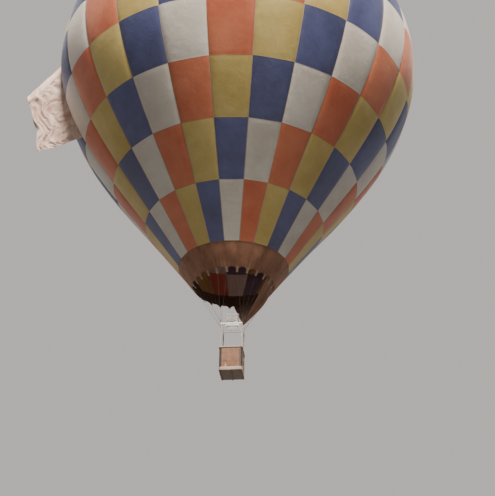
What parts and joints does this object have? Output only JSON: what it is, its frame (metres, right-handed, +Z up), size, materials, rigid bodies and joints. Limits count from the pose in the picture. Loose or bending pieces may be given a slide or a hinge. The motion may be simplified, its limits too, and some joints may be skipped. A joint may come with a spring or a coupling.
{
  "type": "hot air balloon",
  "caption": "Checkered hot air balloon with parachute vent, mouth band and scoop, gimballed double burner, wicker basket and a hung banner.",
  "frame": {"origin": "centre of the envelope's widest ring, on the envelope's axis", "axes": "+Z up along the envelope's axis, +X towards the basket's right short side, -Y towards the viewer of a front elevation"},
  "size_m": [20.4591, 19.1632, 24.688],
  "materials": {
    "fabric_white": "coated ripstop nylon, soft sheen",
    "fabric_orange": "coated ripstop nylon, soft sheen",
    "fabric_yellow": "coated ripstop nylon, soft sheen",
    "fabric_blue": "coated ripstop nylon, soft sheen",
    "fabric_brown": "heat resistant aramid cloth, matt",
    "webbing": "woven polyester tape",
    "banner_cloth": "plain pale cloth, creased",
    "wire": "stranded stainless wire",
    "steel_tube": "satin stainless tube",
    "burner_steel": "bright stainless sheet",
    "alloy": "satin",
    "post_cover": "padded sleeve",
    "timber": "oiled, worn",
    "wicker": "woven willow and cane",
    "hide": "stitched hide"
  },
  "bodies": {
    "root": {"gore_01": "fabric_white", "gore_02": "fabric_orange", "gore_03": "fabric_yellow", "gore_04": "fabric_blue", "gore_05": "fabric_white", "gore_06": "fabric_orange", "gore_07": "fabric_yellow", "gore_08": "fabric_blue", "gore_09": "fabric_white", "gore_10": "fabric_orange", "gore_11": "fabric_yellow", "gore_12": "fabric_blue", "gore_13": "fabric_white", "gore_14": "fabric_orange", "gore_15": "fabric_yellow", "gore_16": "fabric_blue", "gore_17": "fabric_white", "gore_18": "fabric_orange", "gore_19": "fabric_yellow", "gore_20": "fabric_blue", "gore_21": "fabric_white", "gore_22": "fabric_orange", "gore_23": "fabric_yellow", "gore_24": "fabric_blue", "crown_web": "webbing", "crown_ring": "alloy", "mouth_band": "fabric_brown", "scoop": "fabric_brown", "burner_frame": "steel_tube", "wires_front_right": "wire", "wires_back_right": "wire", "wires_back_left": "wire", "wires_front_left": "wire", "upright_front_right": "post_cover", "upright_back_right": "post_cover", "upright_back_left": "post_cover", "upright_front_left": "post_cover", "basket_floor": "timber", "wicker_front": "wicker", "wicker_back": "wicker", "wicker_left": "wicker", "wicker_right": "wicker", "basket_rim": "hide", "basket_hem": "hide", "fuel_cylinder_left": "alloy", "fuel_cylinder_right": "alloy", "banner": "banner_cloth"},
    "vent": {"vent_panel": "fabric_white"},
    "gimbal": {"gimbal_ring": "steel_tube"},
    "burner": {"burner_cross": "steel_tube", "burner_block_left": "burner_steel", "burner_block_right": "burner_steel", "burner_can_left": "burner_steel", "burner_can_right": "burner_steel"}
  },
  "joints": [
    {"name": "vent_slide", "type": "slide", "parent": "root", "child": "vent", "axis": [0, 0, -1], "range_m": [0, 1], "stiffness_N_per_m": 300, "springref_m": -0.6},
    {"name": "gimbal_tilt", "type": "hinge", "parent": "root", "child": "gimbal", "pos_m": [0, 0, -15.593], "axis": [1, 0, 0], "range_deg": [-12, 12]},
    {"name": "burner_tilt", "type": "hinge", "parent": "gimbal", "child": "burner", "pos_m": [0, 0, -15.593], "axis": [0, 1, 0], "range_deg": [-12, 12]}
  ]
}
